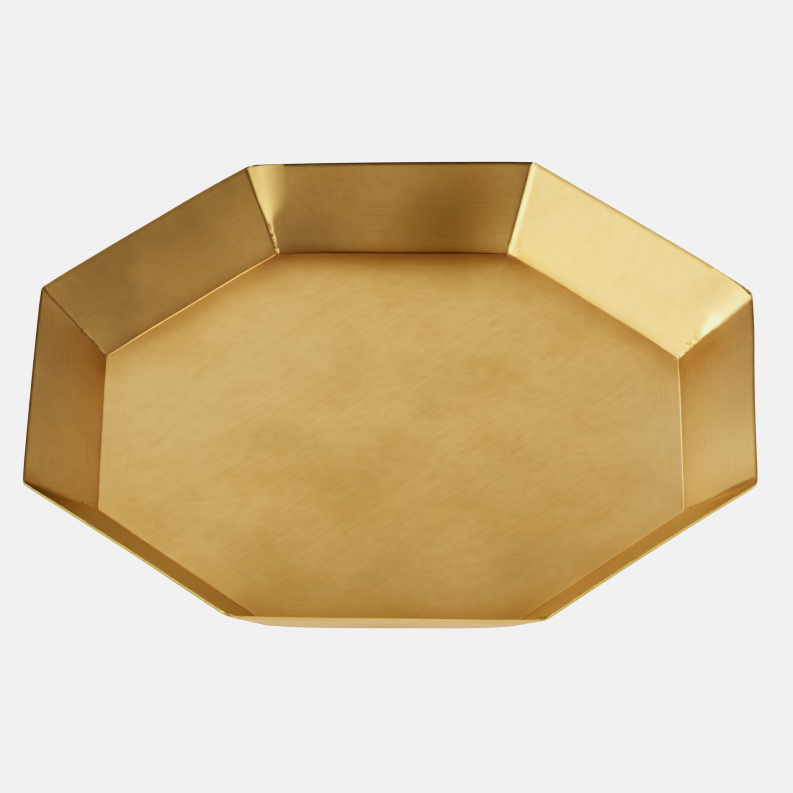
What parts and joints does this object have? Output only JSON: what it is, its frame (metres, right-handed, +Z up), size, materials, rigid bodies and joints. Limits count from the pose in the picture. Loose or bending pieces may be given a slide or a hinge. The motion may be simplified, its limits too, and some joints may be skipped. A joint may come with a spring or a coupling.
{
  "type": "octagonal tray",
  "caption": "Octagonal serving tray folded from one brushed brass sheet, with wide outward-leaning sides and brazed corner seams.",
  "frame": {"origin": "middle of the tray's underside, on the surface it stands on", "axes": "+Z up through the middle of the tray; four of the eight sides face +X, -X, +Y (rear) and -Y (front)"},
  "size_m": [0.305, 0.305, 0.0283],
  "materials": {
    "brushed_brass_sheet": "hand-brushed satin, unlacquered, lightly toned",
    "braze_filler": "filed and brushed, ragged in the lower corners"
  },
  "bodies": {
    "root": {"tray_sheet": "brushed_brass_sheet", "seam_right_rear": "braze_filler", "seam_rear_right": "braze_filler", "seam_rear_left": "braze_filler", "seam_left_rear": "braze_filler", "seam_left_front": "braze_filler", "seam_front_left": "braze_filler", "seam_front_right": "braze_filler", "seam_right_front": "braze_filler"}
  },
  "joints": []
}
